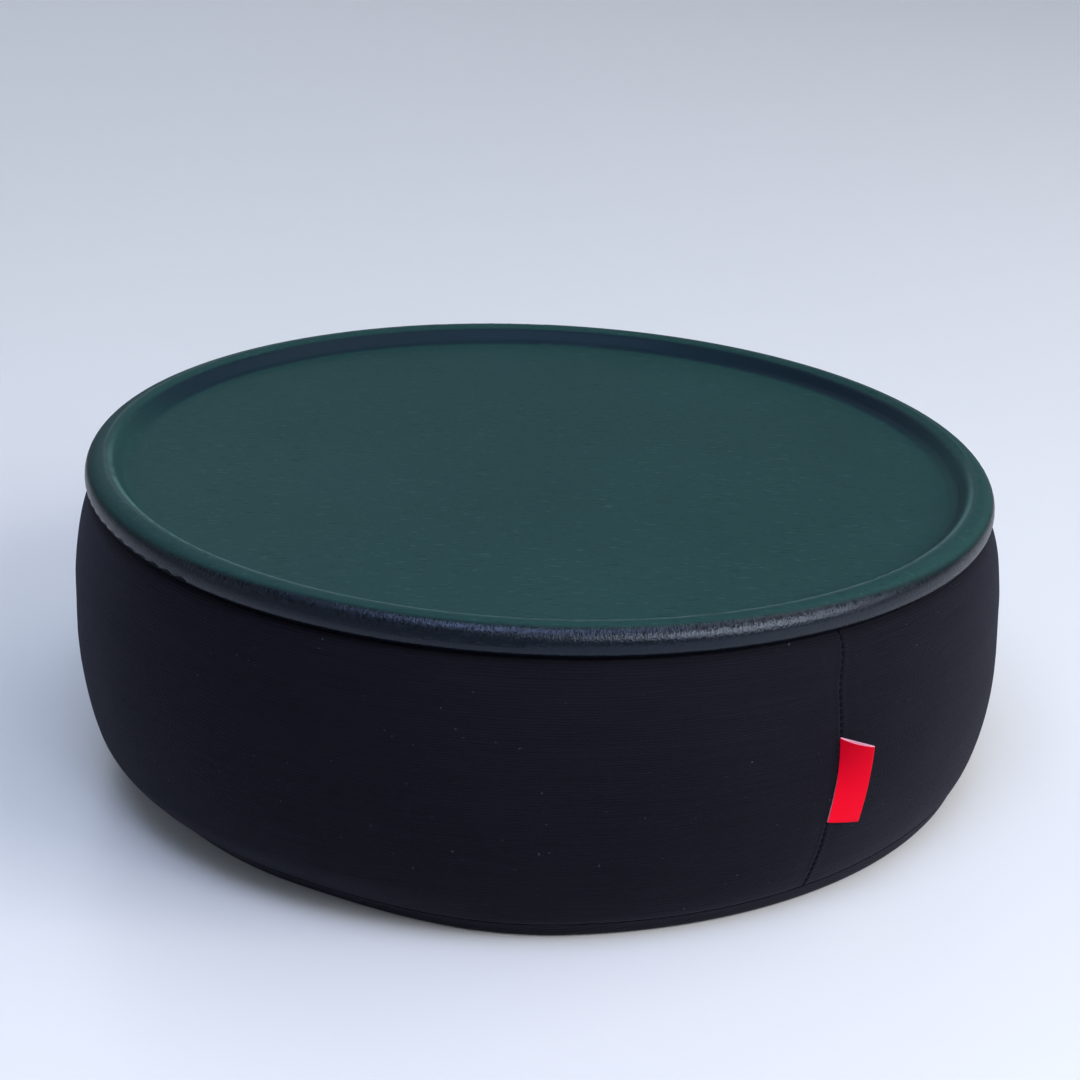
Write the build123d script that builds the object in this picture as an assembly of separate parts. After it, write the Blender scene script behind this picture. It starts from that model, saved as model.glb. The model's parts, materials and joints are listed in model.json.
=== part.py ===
from build123d import *
import os
from math import asin, atan2, cos, degrees, radians, sin, sqrt, tan

# A round lap tray on a bead cushion, in millimetres and degrees. The origin is the middle
# of the cushion's flat base, +Z is up, -Y is the front, and the tray leans towards +X.
# The tray's pieces are drawn level, round the tray's own axis, with their zero height at
# the underside of the rim, and are then set on the cushion by one leaning place.

# Tray, as it shows from above
tray_radius = 190.0
tray_lean = 2.44  # the beads have shifted, so the tray rests lower on its +X side
cushion_height = 118.3  # from the base to the underside of the rim, on the axis
rim_roll_radius = 8.0  # the broad outer round, up to the crest
rim_side_height = 0.4  # upright strip between the two rounds of the rim
rim_edge_radius = 4.0  # the round under the rim's edge
recess_depth = 7.0  # from the crest down to the floor
recess_wall_angle = 50.0
crest_inner_radius = 6.0
crease_radius = 5.0

# Leatherette skin, wrapped over the rim and turned up behind it
skin_thickness = 1.0
skin_land_width = 2.0  # flat strip of skin under the rim
skin_hem_height = 5.0

# Moulded pan under the skin
pan_wall = 2.5
rib_height = 2.0
rib_width = 1.8
radial_rib_count = 24
ring_rib_shares = (0.16, 0.45, 0.74)  # of the screw circle's radius
boss_radius = 4.0
pilot_spare = 0.5  # depth of the screw hole past the screw's tip

# Retaining ring with its tongue, and the screws that hold it
ring_thickness = 2.5
ring_width = 26.0
tongue_thickness = 2.5
tongue_height = 2.0  # above the ring's flat top
screw_count = 12
screw_inset = 15.5  # from the ring's outer edge to the screw circle
screw_radius = 1.5
screw_length = 6.0
screw_tip = 1.2
screw_head_radius = 3.0
screw_head_height = 1.6
drive_slot_depth = 0.9
drive_slot_width = 0.7

# Cushion, as its cover shows it
belly_bulge = 5.7  # how far the belly stands out past the rim's widest line
belly_height = 63.0
foot_reach = 11.0  # from the belly in to the seam of the side band and the bottom panel
bottom_seam_height = 8.0
base_inset = 4.8  # from that seam in to the edge of the flat base
rim_overhang = 5.3  # from the rim's widest line in to the top of the side band
knit_thickness = 1.0
cord_radius = 1.2
bag_thickness = 0.6
crown_gap = 2.3  # between the retaining ring and the bag's top, which rises inside it
crown_rise_width = 14.0  # how far in the bag's top takes to climb into the pan

# Ribbon tag, folded into a loop and caught in the side seam
tag_low = 40.0
tag_high = 76.3
tag_low_azimuth = 34.2  # from the front towards +X; the seam slants under the tag
tag_high_azimuth = 35.5
tag_length = 13.2  # from the seam to the fold
tag_leaf = 0.35
tag_bulge = 1.7  # how far the outer leaf stands off the inner one
tag_low_lift = 12.0  # angle between the tag's lower end and the cover beside it
tag_high_lift = 62.0  # and at its upper end, because the ribbon is twisted
tag_droop = 6.5  # how far the fold hangs from level, square to the slanting seam
tag_root = 0.5  # depth caught in the seam

# Clearances, and spare lengths used to cut and to fuse
fabric_clearance = 0.2
bead_clearance = 0.3
thread_clearance = 0.05
ring_hole_clearance = 0.2
overrun = 2.0
weld = 0.5  # how far ribs and bosses reach into what they stand on

# Shares of a rounded line at which the cushion's form is measured
foot_shares = (0.8, 0.6, 0.4, 0.2, 0.0)
shoulder_shares = (0.16, 0.32, 0.48, 0.64, 0.78, 0.9)
crown_shares = ((0.0, 0.0), (0.35, 0.6), (1.0, 1.0))  # inward, upward
tag_shares = (0.0, 0.25, 0.5, 0.75, 1.0)

# Levels of the tray, from the underside of its rim
rim_height = rim_edge_radius + rim_side_height + rim_roll_radius
floor_top = rim_height - recess_depth
pan_floor_under = floor_top - skin_thickness - pan_wall
rib_under = pan_floor_under - rib_height
ring_top = -knit_thickness - fabric_clearance
ring_under = ring_top - ring_thickness
tongue_top = ring_top + tongue_height
bag_top = ring_under - bead_clearance
bag_crown = rib_under - bead_clearance

# Radii of the tray, from its edge inwards
crest_radius = tray_radius - rim_roll_radius
foot_outer = tray_radius - rim_edge_radius
foot_inner = foot_outer - skin_land_width
skin_hem_inner = foot_inner - skin_thickness
band_top_radius = tray_radius - rim_overhang
riser_outer = skin_hem_inner - fabric_clearance
riser_inner = riser_outer - knit_thickness
tongue_outer = riser_inner - fabric_clearance
tongue_inner = tongue_outer - tongue_thickness
ring_outer = band_top_radius - knit_thickness - fabric_clearance
ring_inner = ring_outer - ring_width
screw_circle = ring_outer - screw_inset
crown_radius = ring_inner - crown_gap

# Radii of the cushion, which follow the tray's
belly_radius = tray_radius + belly_bulge
seam_radius = belly_radius - foot_reach
base_radius = seam_radius - base_inset

# The loop of knit round the hem cord, which rides on the tongue
loop_inner = cord_radius + thread_clearance
loop_outer = loop_inner + knit_thickness
loop_radius = riser_outer - loop_outer
loop_height = tongue_top + fabric_clearance + loop_outer

# The side of the cushion: one arc from the bottom seam to the belly, and above it a
# quarter of an ellipse that turns in under the rim
foot_span = belly_height - bottom_seam_height
foot_arc_radius = (foot_span**2 + foot_reach**2) / (2 * foot_reach)
foot_angle = asin(foot_span / foot_arc_radius)
shoulder_span = cushion_height - belly_height
shoulder_reach = belly_radius - band_top_radius
right_angle = radians(90)


def level_place(height):
    """Place of the cushion's level slice at a height; its lean grows with the height."""
    lean = tray_lean * height / cushion_height
    return Pos(0, 0, height) * Rot(0, lean, 0)


def tray_place():
    """Place of the tray's own axis, with zero at the underside of the rim."""
    return level_place(cushion_height)


def disc(radius):
    """Flat round face, bounded by four quarter arcs."""
    return make_face([CenterArc((0, 0), radius, 90 * quarter, 90) for quarter in range(4)])


def post(radius, low, high):
    """Upright cylinder from one height to another."""
    middle_low = (Align.CENTER, Align.CENTER, Align.MIN)
    return Pos(0, 0, low) * Cylinder(radius, high - low, align=middle_low)


def tube(outer, inner, low, high):
    """Upright tube from one height to another."""
    return post(outer, low, high) - post(inner, low - overrun, high + overrun)


def turned(edges):
    """Solid turned about the axis from an outline of radii and heights."""
    return revolve(Plane.XZ * make_face(edges), axis=Axis.Z)


def side_at(height):
    """Radius and outward slope of the cover at a height above the bottom seam."""
    if height < belly_height:
        angle = -asin((belly_height - height) / foot_arc_radius)
        return belly_radius - foot_arc_radius * (1 - cos(angle)), degrees(angle)
    turn = asin((height - belly_height) / shoulder_span)
    slope = atan2(sin(turn) / shoulder_span, cos(turn) / shoulder_reach)
    return band_top_radius + shoulder_reach * cos(turn), degrees(slope)


def slice_at(height, inset):
    """Round slice of the cushion's form, set inwards square to the cover's face."""
    radius, slope = side_at(height)
    drop = inset * sin(radians(slope))
    return level_place(height) * Pos(0, 0, -drop) * disc(radius - inset * cos(radians(slope)))


def seam_slice(inset):
    """Slice at the bottom seam, set inwards along its own level."""
    return level_place(bottom_seam_height) * disc(seam_radius - inset / cos(foot_angle))


def side_slices(inset, shoulder_turns):
    """Slices of the cushion from the bottom seam up to the shoulder."""
    slices = [seam_slice(inset)]
    for share in foot_shares:
        slices.append(slice_at(belly_height - foot_arc_radius * sin(foot_angle * share), inset))
    for share in shoulder_turns:
        turn = right_angle * share
        slices.append(slice_at(belly_height + shoulder_span * sin(turn), inset))
    return slices


def base_slice(inset):
    """Slice that lies on the base, at the inner corner of a cover as thick as the inset."""
    flare = atan2(base_inset, bottom_seam_height)
    radius = base_radius + inset * (tan(flare) - 1 / cos(flare))
    return Pos(0, 0, inset) * disc(radius)


def foot_form(inset):
    """Low part of the cushion, from its base to the bottom seam."""
    return loft([base_slice(inset), seam_slice(inset)], ruled=True)


def cover_form(inset):
    """Cushion's form from the bottom seam to the top of the side band."""
    return loft(side_slices(inset, shoulder_shares + (1.0,)))


def crown(inset):
    """Part of the bead bag that rises into the pan, inside the retaining ring."""
    slices = []
    for inward_share, upward_share in crown_shares:
        radius = crown_radius - inset - crown_rise_width * inward_share
        height = bag_top - inset + (bag_crown - bag_top) * upward_share
        slices.append(Pos(0, 0, height) * disc(radius))
    return tray_place() * loft(slices)


def bag_form(inset):
    """Form of the bead bag inside the cover, set in by a further inset."""
    depth = knit_thickness + fabric_clearance + inset
    body = foot_form(depth) + loft(side_slices(depth, shoulder_shares))
    lid = Plane(tray_place() * Pos(0, 0, bag_top - inset))
    return split(body, bisect_by=lid, keep=Keep.BOTTOM) + crown(inset)


def dish_line(inset):
    """Upper line of the dish, from its middle over the rim to its foot, set inwards."""
    wall = radians(recess_wall_angle)
    rounds = crest_inner_radius + crease_radius
    straight = (recess_depth - rounds * (1 - cos(wall))) / sin(wall)
    crease_x = crest_radius - rounds * sin(wall) - straight * cos(wall)
    crease_centre = (crease_x, floor_top + crease_radius)
    crest_centre = (crest_radius, rim_height - crest_inner_radius)
    roll_centre = (crest_radius, rim_height - rim_roll_radius)
    edge_centre = (foot_outer, rim_edge_radius)
    crest_start = 90 + recess_wall_angle
    crease = CenterArc(crease_centre, crease_radius + inset, 270, recess_wall_angle)
    crest = CenterArc(crest_centre, crest_inner_radius - inset, crest_start, -recess_wall_angle)
    roll = CenterArc(roll_centre, rim_roll_radius - inset, 90, -90)
    edge = CenterArc(edge_centre, rim_edge_radius - inset, 0, -90)
    floor = Line((0, floor_top - inset), crease @ 0)
    slope = Line(crease @ 1, crest @ 0)
    side = Line(roll @ 1, edge @ 0)
    return [floor, crease, slope, crest, roll, side, edge]


def make_tray_skin():
    """Leatherette over the floor and rim, round the edge and up behind the pan's foot."""
    outside = dish_line(0)
    inside = dish_line(skin_thickness)
    hem = Polyline(
        outside[-1] @ 1,
        (skin_hem_inner, 0),
        (skin_hem_inner, skin_hem_height),
        (foot_inner, skin_hem_height),
        (foot_inner, skin_thickness),
        inside[-1] @ 1,
    )
    axis = Line(outside[0] @ 0, inside[0] @ 0)
    return turned(outside + [hem] + inside + [axis])


def pan_underside():
    """Lower line of the pan, from its foot through the hollow of the rim to the middle."""
    hollow = rim_roll_radius - skin_thickness - pan_wall
    roll_height = rim_height - rim_roll_radius
    foot_turn = degrees(asin(sqrt(hollow**2 - (foot_inner - crest_radius) ** 2) / hollow))
    roof = CenterArc((crest_radius, roll_height), hollow, foot_turn, 90 - foot_turn)
    slope_run = (roll_height + hollow - pan_floor_under) / tan(radians(recess_wall_angle))
    foot = Line((foot_inner, skin_thickness), roof @ 0)
    under = Polyline(roof @ 1, (crest_radius - slope_run, pan_floor_under), (0, pan_floor_under))
    return [foot, roof, under]


def make_tray_pan():
    """Moulded pan: floor, hollow rolled rim, ribs below and a blind boss for each screw."""
    upper = dish_line(skin_thickness)
    lower = pan_underside()
    land = Line(upper[-1] @ 1, lower[0] @ 0)
    axis = Line(lower[-1] @ 1, upper[0] @ 0)
    pan = turned(upper + [land] + lower + [axis])
    rib_top = pan_floor_under + weld
    hub = screw_circle * ring_rib_shares[0]
    ribs = []
    for share in ring_rib_shares:
        middle = screw_circle * share
        ribs.append(tube(middle + rib_width / 2, middle - rib_width / 2, rib_under, rib_top))
    rib_align = (Align.MIN, Align.CENTER, Align.MIN)
    rib = Pos(hub, 0, rib_under) * Box(
        screw_circle - hub, rib_width, rib_height + weld, align=rib_align
    )
    ribs += [turn * rib for turn in PolarLocations(0, radial_rib_count)]
    bosses = [
        place * post(boss_radius, ring_top, rib_top)
        for place in PolarLocations(screw_circle, screw_count)
    ]
    pilot_top = ring_under + screw_length + pilot_spare
    pilots = [
        place * post(screw_radius + thread_clearance, ring_top - overrun, pilot_top)
        for place in PolarLocations(screw_circle, screw_count)
    ]
    return pan + ribs + bosses - pilots


def screw_form(gap):
    """Countersunk screw, head down at zero height, or the room it needs with a gap."""
    outline = Polyline(
        (0, 0),
        (screw_head_radius + gap, 0),
        (screw_radius + gap, screw_head_height),
        (screw_radius + gap, screw_length - screw_tip),
        (0, screw_length),
        close=True,
    )
    return turned([outline])


def make_ring_screws():
    """Screws of the retaining ring, each with a crossed drive slot, heads flush below."""
    slot_align = (Align.CENTER, Align.CENTER, Align.MIN)
    slot = Box(2 * screw_radius, drive_slot_width, drive_slot_depth, align=slot_align)
    screw = screw_form(0) - slot - Rot(0, 0, 90) * slot
    places = PolarLocations(screw_circle, screw_count)
    return Part() + [Pos(0, 0, ring_under) * place * screw for place in places]


def make_retaining_ring():
    """Flat ring under the pan, with the tongue that keeps the hem cord in the rim."""
    ring = tube(ring_outer, ring_inner, ring_under, ring_top)
    tongue = tube(tongue_outer, tongue_inner, ring_top - weld, tongue_top)
    holes = [
        Pos(0, 0, ring_under) * place * screw_form(ring_hole_clearance)
        for place in PolarLocations(screw_circle, screw_count)
    ]
    return ring + tongue - holes


def tag_place(share):
    """Place of the tag's cross section on the side seam, X towards the fold, Y outwards."""
    height = tag_low + (tag_high - tag_low) * share
    azimuth = tag_low_azimuth + (tag_high_azimuth - tag_low_azimuth) * share
    lift = tag_low_lift + (tag_high_lift - tag_low_lift) * share
    radius, slope = side_at(height)
    on_seam = level_place(height) * Rot(0, 0, azimuth) * Pos(0, -radius, 0)
    return on_seam * Rot(180 - slope, 0, 0) * Rot(0, -tag_droop, 0) * Rot(0, 0, lift)


def tag_loft(face, low_share, high_share):
    """Loft of one cross section along the side seam, between two shares of the tag."""
    span = high_share - low_share
    return loft([tag_place(low_share + span * share) * face for share in tag_shares])


def make_side_tag():
    """Ribbon folded at its free edge, its two leaves parted in the middle."""
    middle = tag_length / 2
    tip = tag_length - tag_leaf
    face = 2 * tag_leaf
    outer_leaf = ThreePointArc((tip, face), (middle, face + tag_bulge), (0, face))
    fold = [
        CenterArc((tip, tag_leaf), tag_leaf, -90, 90),
        CenterArc((tip, tag_leaf), tag_leaf, 0, 90),
    ]
    root = Polyline((0, face), (-tag_root, face), (-tag_root, 0), (tip, 0))
    loop = make_face([outer_leaf, *fold, root])
    hollow = make_face([
        Line((tag_leaf, tag_leaf), (tip, tag_leaf)),
        ThreePointArc((tip, tag_leaf), (middle, tag_leaf + tag_bulge), (tag_leaf, tag_leaf)),
    ])
    past_end = overrun / (tag_high - tag_low)
    return tag_loft(loop, 0, 1) - tag_loft(hollow, -past_end, 1 + past_end)


def tag_room():
    """Slot that the tag's root takes up in the side seam."""
    low = -fabric_clearance
    high = 2 * tag_leaf + fabric_clearance
    end = -tag_root - fabric_clearance
    reach = tag_root + overrun
    slot = make_face([Polyline((end, low), (reach, low), (reach, high), (end, high), close=True)])
    past_end = fabric_clearance / (tag_high - tag_low)
    return tag_loft(slot, -past_end, 1 + past_end)


def hem_ring(section):
    """Solid ring turned from a section that is centred on the hem cord."""
    return revolve(Plane.XZ * Pos(loop_radius, loop_height) * section, axis=Axis.Z)


def make_cover_side_band():
    """Stretch knit band with its hem turned in under the rim and looped round the cord."""
    shell = cover_form(0) - cover_form(knit_thickness)
    opening = post(riser_inner, -knit_thickness - overrun, overrun)
    riser = tube(riser_outer, riser_inner, -knit_thickness, loop_height)
    loop = hem_ring(Circle(loop_outer) - Circle(loop_inner))
    return shell - tray_place() * opening + tray_place() * (riser + loop) - tag_room()


def make_hem_cord():
    """Round cord in the hem, all the way round the rim's hollow."""
    return tray_place() * hem_ring(Circle(cord_radius))


def make_cover_bottom_panel():
    """Bottom panel of the cover, flat on the table and turned up to the bottom seam."""
    return foot_form(0) - foot_form(knit_thickness)


def make_bead_bag():
    """Thin inner bag that keeps the beads together."""
    return bag_form(0) - bag_form(bag_thickness)


def make_bead_fill():
    """The beads, as the one mass that they settle into."""
    return bag_form(bag_thickness + bead_clearance)


nodes = {
    "tray_skin": tray_place() * make_tray_skin(),
    "tray_pan": tray_place() * make_tray_pan(),
    "retaining_ring": tray_place() * make_retaining_ring(),
    "ring_screws": tray_place() * make_ring_screws(),
    "hem_cord": make_hem_cord(),
    "cover_side_band": make_cover_side_band(),
    "cover_bottom_panel": make_cover_bottom_panel(),
    "side_tag": make_side_tag(),
    "bead_bag": make_bead_bag(),
    "bead_fill": make_bead_fill(),
}

os.makedirs("parts", exist_ok=True)
for name, solid in nodes.items():
    export_step(solid, f"parts/{name}.step")
    print(name, round(solid.volume), "cubic millimetres")
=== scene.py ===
# %% [markdown]
# # A round lap tray on a bead cushion
# The real object is a moulded tray with a rolled rim, covered in leatherette, and a knit
# cushion full of light beads that is clamped under the rim. The rigid pieces come from a
# CAD model, which this file loads first. Blender then adds what CAD leaves plain: the
# cloth, the seams, the ribbon tag and the finish of every surface.

# %% Load the frame
import json
import math

import bpy
import numpy as np
from mathutils import Matrix, Vector
from mathutils.bvhtree import BVHTree


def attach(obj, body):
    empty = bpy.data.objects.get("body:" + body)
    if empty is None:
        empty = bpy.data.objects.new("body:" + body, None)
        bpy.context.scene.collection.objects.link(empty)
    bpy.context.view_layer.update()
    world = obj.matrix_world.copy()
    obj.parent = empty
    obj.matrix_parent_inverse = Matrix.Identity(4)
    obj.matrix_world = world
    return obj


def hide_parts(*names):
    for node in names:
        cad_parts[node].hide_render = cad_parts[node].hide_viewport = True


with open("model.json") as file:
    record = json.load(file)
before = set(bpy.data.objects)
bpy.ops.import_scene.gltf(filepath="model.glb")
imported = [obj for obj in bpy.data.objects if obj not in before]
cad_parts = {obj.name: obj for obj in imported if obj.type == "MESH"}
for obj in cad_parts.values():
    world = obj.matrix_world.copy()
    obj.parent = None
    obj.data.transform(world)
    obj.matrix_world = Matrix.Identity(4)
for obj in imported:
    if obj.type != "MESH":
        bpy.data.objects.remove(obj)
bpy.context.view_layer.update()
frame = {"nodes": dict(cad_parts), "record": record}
print("pieces in the frame:", ", ".join(sorted(frame["nodes"])))

# %% [markdown]
# ## Sizes
# Blender counts in metres. Sizes of small sewn things are easier to read in millimetres, so
# each is written as a number times `mm`. The tray leans a little on its beads, and where
# its floor lies and how it leans is read from the frame instead of being typed again.

# %% Sizes shared by the pieces
mm = 0.001
bottom_seam_height = 8.0 * mm
floor_above_rim_foot = 5.4 * mm
tray_radius = 190.0 * mm
crest_radius = 182.0 * mm
# Where the pale painted highlight runs along the crest
crest_highlight_radius = 179.5 * mm

tray_floor = next(m for m in frame["record"]["mounts"] if m["name"] == "tray_floor")
tray_axis = Vector(tray_floor["axis"]).normalized()
floor_middle = Vector(tray_floor["pos_m"])
tray_lean = math.atan2(tray_axis.x, tray_axis.z)
rim_foot = floor_middle - tray_axis * floor_above_rim_foot
cushion_height = rim_foot.z
print(f"lean {math.degrees(tray_lean):.2f} degrees, cushion {cushion_height / mm:.1f} mm high")

# %% [markdown]
# ## Camera
# A photograph fixes where its camera stood. Five things in it, the rim, its crest, both
# sides of the cushion and its base, were fitted at once. The lens came out as a short
# telephoto, a little more than a metre away and looking down on the tray by some twenty
# degrees. Placing the camera by eye would be quicker, but then no size could be compared.

# %% Camera
picture_side = 1080
focal_pixels = 2784
sensor_width = 36.0
camera_place = (-0.15 * mm, -1104.9 * mm, 521.8 * mm)
camera_pitch = math.radians(21.32)

camera_data = bpy.data.cameras.new("camera")
camera_data.sensor_width = sensor_width
camera_data.lens = focal_pixels / picture_side * sensor_width
camera = bpy.data.objects.new("camera", camera_data)
camera.location = camera_place
camera.rotation_euler = (math.radians(90) - camera_pitch, 0, 0)
bpy.context.scene.collection.objects.link(camera)
bpy.context.scene.camera = camera
bpy.context.scene.view_settings.view_transform = "Standard"
print(f"lens {camera_data.lens:.1f} mm")

# %% [markdown]
# ## Shader maths
# A finish is a sum of small patterns. Wiring each sum by hand takes many lines, so one small
# class stands for the output of a node. Python then calls its `__add__` and its other
# operators, and each of them adds a Math node. Every other kind of node comes from `node`.

# %% A signal that can be used in sums
# A Mix node keeps sockets for numbers, vectors and colours; these are the ones for colours
mix_share, mix_first, mix_second, mix_colour = 0, 6, 7, 2


class Signal:
    """The output of a shader node."""

    def __init__(self, tree, socket=None):
        self.tree = tree
        self.socket = socket

    def node(self, kind, settings=None, inputs=None, output=0):
        """Add a node to the same tree: first its settings, then its sockets."""
        made = self.tree.nodes.new(kind)
        for name, value in (settings or {}).items():
            setattr(made, name, value)
        for name, value in (inputs or {}).items():
            if isinstance(value, Signal):
                self.tree.links.new(value.socket, made.inputs[name])
            else:
                made.inputs[name].default_value = value
        return Signal(self.tree, made.outputs[output])

    def math(self, operation, *values):
        return self.node("ShaderNodeMath", {"operation": operation}, dict(enumerate(values)))

    def vector(self, operation, other, output=0):
        settings = {"operation": operation}
        return self.node("ShaderNodeVectorMath", settings, {0: self, 1: other}, output)

    def __add__(self, other):
        return self.math("ADD", self, other)

    def __radd__(self, other):
        return self.math("ADD", other, self)

    def __sub__(self, other):
        return self.math("SUBTRACT", self, other)

    def __rsub__(self, other):
        return self.math("SUBTRACT", other, self)

    def __mul__(self, other):
        return self.math("MULTIPLY", self, other)

    def __rmul__(self, other):
        return self.math("MULTIPLY", other, self)

    def __truediv__(self, other):
        return self.math("DIVIDE", self, other)

    def __rtruediv__(self, other):
        return self.math("DIVIDE", other, self)

    def __abs__(self):
        return self.math("ABSOLUTE", self)

    def ramp(self, start, end):
        """0 up to start, 1 from end on, and a soft step between; start may be the larger."""
        sockets = {"Value": self, "From Min": start, "From Max": end}
        return self.node("ShaderNodeMapRange", {"interpolation_type": "SMOOTHSTEP"}, sockets)

    def mix(self, first, second):
        """A colour from first, where the signal is 0, to second, where it is 1."""
        sockets = {mix_share: self, mix_first: first, mix_second: second}
        return self.node("ShaderNodeMix", {"data_type": "RGBA"}, sockets, mix_colour)


print("signals ready")

# %% [markdown]
# ## Starting a finish
# Every finish is the Principled shader. What is the same all over a surface is typed on the
# shader's own sockets. What varies is a signal that feeds the colour, the roughness or a
# Bump node. A picture could be wrapped round each piece instead, but a pattern of nodes has
# no edge to hide. A colour is easiest to judge as a screen value, from 0 to 255, so
# `shade` turns such a value into the linear light that Blender counts in. Bumps are drawn
# at their real height in metres, so a grain keeps its depth whatever it is drawn on.

# %% Start a finish
def shade(red, green, blue):
    """A screen colour as linear light."""
    return tuple((value / 255) ** 2.2 for value in (red, green, blue)) + (1.0,)


def start_finish(name, **constants):
    """A material and the place of a point on the object, as a signal in metres."""
    material = bpy.data.materials.new(name)
    material.use_nodes = True
    shader = material.node_tree.nodes["Principled BSDF"]
    for socket, value in constants.items():
        shader.inputs[socket.replace("_", " ")].default_value = value
    place = Signal(material.node_tree).node("ShaderNodeTexCoord", output="Object")
    return material, place


def feed(material, socket, signal, shader="Principled BSDF"):
    """Let a signal drive one socket of the finish."""
    target = material.node_tree.nodes[shader]
    signal.tree.links.new(signal.socket, target.inputs[socket])


def raise_surface(material, height, shader="Principled BSDF"):
    """Bump by a height in metres."""
    sockets = {"Strength": 1.0, "Distance": 1.0, "Height": height}
    bump = height.node("ShaderNodeBump", inputs=sockets)
    feed(material, "Normal", bump, shader)


def second_finish(material, name, share, **constants):
    """Another shader on the same surface, shown where the signal share is 1."""
    nodes = material.node_tree.nodes
    links = material.node_tree.links
    shader = nodes.new("ShaderNodeBsdfPrincipled")
    shader.name = name
    for socket, value in constants.items():
        shader.inputs[socket.replace("_", " ")].default_value = value
    blend = nodes.new("ShaderNodeMixShader")
    links.new(share.socket, blend.inputs[0])
    links.new(nodes["Principled BSDF"].outputs[0], blend.inputs[1])
    links.new(shader.outputs[0], blend.inputs[2])
    links.new(blend.outputs[0], nodes["Material Output"].inputs["Surface"])


def noise(place, scale, detail=2.0, roughness=0.5):
    """Soft random cloud, about even around one half, with scale in lumps per metre."""
    sockets = {"Vector": place, "Scale": scale, "Detail": detail, "Roughness": roughness}
    return place.node("ShaderNodeTexNoise", inputs=sockets)


def parts_of(vector):
    """The three numbers of a vector signal."""
    return [vector.node("ShaderNodeSeparateXYZ", inputs={0: vector}, output=i) for i in range(3)]


def vector_of(x, y, z):
    """A vector signal from three numbers or signals."""
    tree = next(part for part in (x, y, z) if isinstance(part, Signal))
    return tree.node("ShaderNodeCombineXYZ", inputs={0: x, 1: y, 2: z})


print("finishes can be started")

# %% [markdown]
# ## Studio
# The tray stands on a plain pale floor that sweeps up into a wall on every side, like a very
# large shallow bowl, where a card behind it would do for one view only. The main lamp stands
# on the right, because in the photograph the right side of the cushion is by far the lighter
# one, and a wider, weaker one fills in from higher up. A small lamp at the right of the
# camera puts the bright streak on the rolled rim, a bluish one overhead gives the cooler
# streak in the middle, and a weak one at the back left frees the outline.

# %% Floor and wall in one sweep
def grid_faces(rows, columns):
    """Quads of a grid whose columns go all the way round."""
    faces = []
    for row in range(rows - 1):
        here, above = row * columns, (row + 1) * columns
        for column in range(columns):
            after = (column + 1) % columns
            faces.append((here + column, here + after, above + after, above + column))
    return faces


def mesh_object(name, points, faces):
    """Object with smooth faces from points and faces."""
    mesh = bpy.data.meshes.new(name)
    mesh.from_pydata([tuple(point) for point in points], [], faces)
    mesh.validate()
    mesh.shade_smooth()
    made = bpy.data.objects.new(name, mesh)
    bpy.context.scene.collection.objects.link(made)
    return made


def revolve(name, outline, columns):
    """Object turned about Z from an outline of radii and heights in metres."""
    turns = np.arange(columns) * 2 * math.pi / columns
    outline = np.array(outline)
    radii, heights = outline[:, 0], outline[:, 1]
    x = np.outer(radii, np.sin(turns))
    y = np.outer(radii, -np.cos(turns))
    z = np.outer(heights, np.ones(columns))
    points = np.stack([x, y, z], axis=2)
    return mesh_object(name, points.reshape(-1, 3), grid_faces(len(outline), columns))


floor_flat = 2.4
sweep_radius = 1.0
wall_top = 2.6
sweep_steps = 12
studio_columns = 96
sweep = [(1 * mm, 0.0), (floor_flat / 4, 0.0), (floor_flat, 0.0)]
for step in range(1, sweep_steps + 1):
    turn = math.radians(90) * step / sweep_steps
    sweep.append((floor_flat + sweep_radius * math.sin(turn), sweep_radius * (1 - math.cos(turn))))
sweep.append((floor_flat + sweep_radius, wall_top))
studio = revolve("studio", sweep, studio_columns)

paper, paper_place = start_finish("studio_paper", Roughness=0.4, Specular_IOR_Level=0.3)
paper_tone = noise(paper_place, 0.8).mix(shade(222, 223, 226), shade(226, 227, 230))
feed(paper, "Base Color", paper_tone)
studio.data.materials.append(paper)
print(f"floor {2 * floor_flat:.1f} m wide")

# %% Lamps and sky
def lamp(name, place, aim, side, power, colour):
    """Square soft lamp that shines from one place at another."""
    data = bpy.data.lights.new(name, "AREA")
    data.size = side
    data.energy = power
    data.color = colour
    made = bpy.data.objects.new(name, data)
    made.location = place
    made.rotation_euler = (Vector(place) - Vector(aim)).to_track_quat("Z", "Y").to_euler()
    bpy.context.scene.collection.objects.link(made)


lamp_target = (0, 0, 0.1)
daylight = (1.0, 0.99, 0.97)
sky_colour = (0.79, 0.90, 1.0, 1.0)
sky_strength = 0.28
lamps = (  # name, place, side in metres, power in watts, colour
    ("right_lamp", (1.79, -0.95, 1.18), 1.25, 36, daylight),
    ("side_lamp", (1.25, 0.35, 1.90), 1.6, 12, daylight),
    ("front_lamp", (0.90, -1.45, 1.25), 0.8, 9, (0.97, 0.98, 1.0)),
    ("top_lamp", (-0.1, -0.68, 1.7), 0.9, 14, (0.58, 0.68, 1.0)),
    ("back_lamp", (-0.9, 2.0, 1.5), 1.2, 8, (0.78, 0.87, 1.0)),
)
for lamp_name, place, side, power, colour in lamps:
    lamp(lamp_name, place, lamp_target, side, power, colour)
world = bpy.data.worlds.new("sky")
world.use_nodes = True
background = world.node_tree.nodes["Background"]
background.inputs["Color"].default_value = sky_colour
background.inputs["Strength"].default_value = sky_strength
bpy.context.scene.world = world
print(len(lamps), "lamps and an even sky")
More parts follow.
